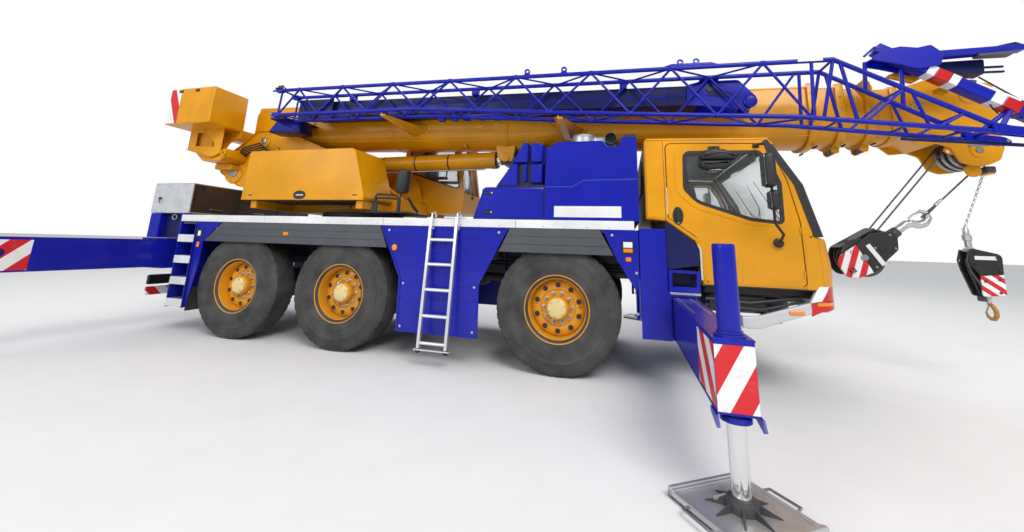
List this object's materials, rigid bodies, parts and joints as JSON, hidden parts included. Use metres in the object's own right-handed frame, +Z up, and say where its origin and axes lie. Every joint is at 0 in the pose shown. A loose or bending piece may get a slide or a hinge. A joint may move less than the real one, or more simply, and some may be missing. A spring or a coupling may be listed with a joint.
{
  "type": "mobile crane",
  "caption": "All-terrain mobile crane on extended outriggers, telescopic boom laid forward over the carrier cab, lattice jib stowed on its side.",
  "frame": {"origin": "on the ground, under the middle of the overall box, which runs from the boom head to the rear left outrigger pad", "axes": "+X forward, towards the carrier cab and the boom's head; +Y to the crane's left; +Z up"},
  "size_m": [11.2242, 6.9242, 3.67],
  "materials": {
    "tyre": "matt",
    "yellow_paint": "gloss",
    "blue_paint": "gloss",
    "dark_paint": "satin",
    "frame_paint": "satin",
    "deck_plate": "satin",
    "bright_aluminium": "satin",
    "light_grey_paint": "satin",
    "window": "gloss",
    "interior_plastic": "matt",
    "steel": "satin",
    "engine_iron": "matt",
    "cylinder_steel": "gloss",
    "ram_chrome": "polished",
    "striped_paint": "satin",
    "mudguard_plastic": "matt"
  },
  "bodies": {
    "carrier": {"frame": "frame_paint", "deck": "deck_plate", "side_panels": "blue_paint", "fenders": "mudguard_plastic", "hood": "blue_paint", "engine": "engine_iron", "intakes": "blue_paint", "exhaust": "steel", "outrigger_boxes": "blue_paint", "ladders_and_locker": "bright_aluminium", "bumpers": "light_grey_paint", "cab_shell": "yellow_paint", "cab_glass": "window", "cab_fittings": "interior_plastic", "axles": "dark_paint"},
    "knuckle_front_left": {"knuckle_front_left": "dark_paint"},
    "wheel_front_left": {"tyre_front_left": "tyre", "rim_front_left": "yellow_paint"},
    "knuckle_front_right": {"knuckle_front_right": "dark_paint"},
    "wheel_front_right": {"tyre_front_right": "tyre", "rim_front_right": "yellow_paint"},
    "knuckle_middle_left": {"knuckle_middle_left": "dark_paint"},
    "wheel_middle_left": {"tyre_middle_left": "tyre", "rim_middle_left": "yellow_paint"},
    "knuckle_middle_right": {"knuckle_middle_right": "dark_paint"},
    "wheel_middle_right": {"tyre_middle_right": "tyre", "rim_middle_right": "yellow_paint"},
    "knuckle_rear_left": {"knuckle_rear_left": "dark_paint"},
    "wheel_rear_left": {"tyre_rear_left": "tyre", "rim_rear_left": "yellow_paint"},
    "knuckle_rear_right": {"knuckle_rear_right": "dark_paint"},
    "wheel_rear_right": {"tyre_rear_right": "tyre", "rim_rear_right": "yellow_paint"},
    "superstructure": {"turntable": "yellow_paint", "engine_housing": "yellow_paint", "counterweight": "yellow_paint", "crane_cab": "yellow_paint", "crane_glass": "window", "crane_seat": "interior_plastic"},
    "boom": {"boom_base": "yellow_paint", "jib": "blue_paint"},
    "stage_1": {"boom_stage_1": "yellow_paint"},
    "stage_2": {"boom_stage_2": "yellow_paint"},
    "stage_3": {"boom_stage_3": "yellow_paint"},
    "lift_barrel": {"lift_barrel": "cylinder_steel"},
    "lift_ram": {"lift_ram": "ram_chrome"},
    "main_hook": {"main_hook": "striped_paint"},
    "small_hook": {"small_hook": "striped_paint"},
    "beam_front_left": {"outrigger_beam_front_left": "blue_paint"},
    "jack_front_left": {"jack_front_left": "ram_chrome"},
    "beam_front_right": {"outrigger_beam_front_right": "blue_paint"},
    "jack_front_right": {"jack_front_right": "ram_chrome"},
    "beam_rear_left": {"outrigger_beam_rear_left": "blue_paint"},
    "jack_rear_left": {"jack_rear_left": "ram_chrome"},
    "beam_rear_right": {"outrigger_beam_rear_right": "blue_paint"},
    "jack_rear_right": {"jack_rear_right": "ram_chrome"},
    "cab_door_left": {"cab_door_left": "yellow_paint"},
    "cab_door_right": {"cab_door_right": "yellow_paint"},
    "crane_door": {"crane_door": "yellow_paint"}
  },
  "joints": [
    {"name": "steer_front_left", "type": "hinge", "parent": "carrier", "child": "knuckle_front_left", "pos_m": [0.85206, 0.79, 0.682], "axis": [0, 0, 1], "range_deg": [-28, 28]},
    {"name": "roll_front_left", "type": "hinge", "parent": "knuckle_front_left", "child": "wheel_front_left", "pos_m": [0.85206, 1.0375, 0.682], "axis": [0, 1, 0], "continuous": true},
    {"name": "steer_front_right", "type": "hinge", "parent": "carrier", "child": "knuckle_front_right", "pos_m": [0.85206, -0.79, 0.682], "axis": [0, 0, 1], "range_deg": [-28, 28]},
    {"name": "roll_front_right", "type": "hinge", "parent": "knuckle_front_right", "child": "wheel_front_right", "pos_m": [0.85206, -1.0375, 0.682], "axis": [0, 1, 0], "continuous": true},
    {"name": "steer_middle_left", "type": "hinge", "parent": "carrier", "child": "knuckle_middle_left", "pos_m": [-1.90595, 0.79, 0.682], "axis": [0, 0, 1], "range_deg": [-7, 7]},
    {"name": "roll_middle_left", "type": "hinge", "parent": "knuckle_middle_left", "child": "wheel_middle_left", "pos_m": [-1.90595, 1.0375, 0.682], "axis": [0, 1, 0], "continuous": true},
    {"name": "steer_middle_right", "type": "hinge", "parent": "carrier", "child": "knuckle_middle_right", "pos_m": [-1.90595, -0.79, 0.682], "axis": [0, 0, 1], "range_deg": [-7, 7]},
    {"name": "roll_middle_right", "type": "hinge", "parent": "knuckle_middle_right", "child": "wheel_middle_right", "pos_m": [-1.90595, -1.0375, 0.682], "axis": [0, 1, 0], "continuous": true},
    {"name": "steer_rear_left", "type": "hinge", "parent": "carrier", "child": "knuckle_rear_left", "pos_m": [-3.55594, 0.79, 0.682], "axis": [0, 0, 1], "range_deg": [-12.6, 12.6]},
    {"name": "roll_rear_left", "type": "hinge", "parent": "knuckle_rear_left", "child": "wheel_rear_left", "pos_m": [-3.55594, 1.0375, 0.682], "axis": [0, 1, 0], "continuous": true},
    {"name": "steer_rear_right", "type": "hinge", "parent": "carrier", "child": "knuckle_rear_right", "pos_m": [-3.55594, -0.79, 0.682], "axis": [0, 0, 1], "range_deg": [-12.6, 12.6]},
    {"name": "roll_rear_right", "type": "hinge", "parent": "knuckle_rear_right", "child": "wheel_rear_right", "pos_m": [-3.55594, -1.0375, 0.682], "axis": [0, 1, 0], "continuous": true},
    {"name": "slew", "type": "hinge", "parent": "carrier", "child": "superstructure", "pos_m": [-2.49795, 0, 1.64], "axis": [0, 0, 1], "continuous": true},
    {"name": "boom_luff", "type": "hinge", "parent": "superstructure", "child": "boom", "pos_m": [-4.29795, 0, 2.95], "axis": [0, -1, 0], "range_deg": [0, 80]},
    {"name": "telescope_1", "type": "slide", "parent": "boom", "child": "stage_1", "axis": [0.9997, 0, -0.0262], "range_m": [0, 6.9]},
    {"name": "telescope_2", "type": "slide", "parent": "stage_1", "child": "stage_2", "axis": [0.9997, 0, -0.0262], "range_m": [0, 6.9]},
    {"name": "telescope_3", "type": "slide", "parent": "stage_2", "child": "stage_3", "axis": [0.9997, 0, -0.0262], "range_m": [0, 6.9]},
    {"name": "lift_barrel_pivot", "type": "hinge", "parent": "superstructure", "child": "lift_barrel", "pos_m": [-3.04794, 0, 2.56], "axis": [0, -1, 0], "range_deg": [0, 91.39]},
    {"name": "lift_ram_slide", "type": "slide", "parent": "lift_barrel", "child": "lift_ram", "axis": [0.9999, 0, 0.0167], "range_m": [0, 1.5212]},
    {"name": "main_hook_swing", "type": "hinge", "parent": "stage_3", "child": "main_hook", "pos_m": [5.36185, 0, 2.52199], "axis": [0, 1, 0], "range_deg": [-10, 10]},
    {"name": "small_hook_swing", "type": "hinge", "parent": "stage_3", "child": "small_hook", "pos_m": [5.58677, 0.022, 3.1569], "axis": [0, 1, 0], "range_deg": [-10, 10]},
    {"name": "outrigger_front_left", "type": "slide", "parent": "carrier", "child": "beam_front_left", "axis": [0, 1, 0], "range_m": [-1.76, 0]},
    {"name": "jack_lift_front_left", "type": "slide", "parent": "beam_front_left", "child": "jack_front_left", "axis": [0, 0, 1], "range_m": [0, 0.37]},
    {"name": "outrigger_front_right", "type": "slide", "parent": "carrier", "child": "beam_front_right", "axis": [0, -1, 0], "range_m": [-1.76, 0]},
    {"name": "jack_lift_front_right", "type": "slide", "parent": "beam_front_right", "child": "jack_front_right", "axis": [0, 0, 1], "range_m": [0, 0.37]},
    {"name": "outrigger_rear_left", "type": "slide", "parent": "carrier", "child": "beam_rear_left", "axis": [0, 1, 0], "range_m": [-1.76, 0]},
    {"name": "jack_lift_rear_left", "type": "slide", "parent": "beam_rear_left", "child": "jack_rear_left", "axis": [0, 0, 1], "range_m": [0, 0.37]},
    {"name": "outrigger_rear_right", "type": "slide", "parent": "carrier", "child": "beam_rear_right", "axis": [0, -1, 0], "range_m": [-1.76, 0]},
    {"name": "jack_lift_rear_right", "type": "slide", "parent": "beam_rear_right", "child": "jack_rear_right", "axis": [0, 0, 1], "range_m": [0, 0.37]},
    {"name": "cab_door_left_hinge", "type": "hinge", "parent": "carrier", "child": "cab_door_left", "pos_m": [3.21406, 1.24, 1.7], "axis": [0, 0, -1], "range_deg": [0, 65]},
    {"name": "cab_door_right_hinge", "type": "hinge", "parent": "carrier", "child": "cab_door_right", "pos_m": [3.21406, -1.24, 1.7], "axis": [0, 0, 1], "range_deg": [0, 65]},
    {"name": "crane_door_slide", "type": "slide", "parent": "superstructure", "child": "crane_door", "axis": [-1, 0, 0], "range_m": [0, 0.65]}
  ],
  "couplings": [
    {"joint": "steer_front_right", "follows": "steer_front_left", "ratio": 1},
    {"joint": "steer_middle_left", "follows": "steer_front_left", "ratio": 0.25},
    {"joint": "steer_middle_right", "follows": "steer_front_left", "ratio": 0.25},
    {"joint": "steer_rear_left", "follows": "steer_front_left", "ratio": -0.45},
    {"joint": "steer_rear_right", "follows": "steer_front_left", "ratio": -0.45},
    {"joint": "telescope_2", "follows": "telescope_1", "ratio": 1},
    {"joint": "telescope_3", "follows": "telescope_1", "ratio": 1},
    {"joint": "lift_barrel_pivot", "follows": "boom_luff", "ratio": 1.1423},
    {"joint": "lift_ram_slide", "follows": "boom_luff", "m_per_rad": 1.0888}
  ]
}
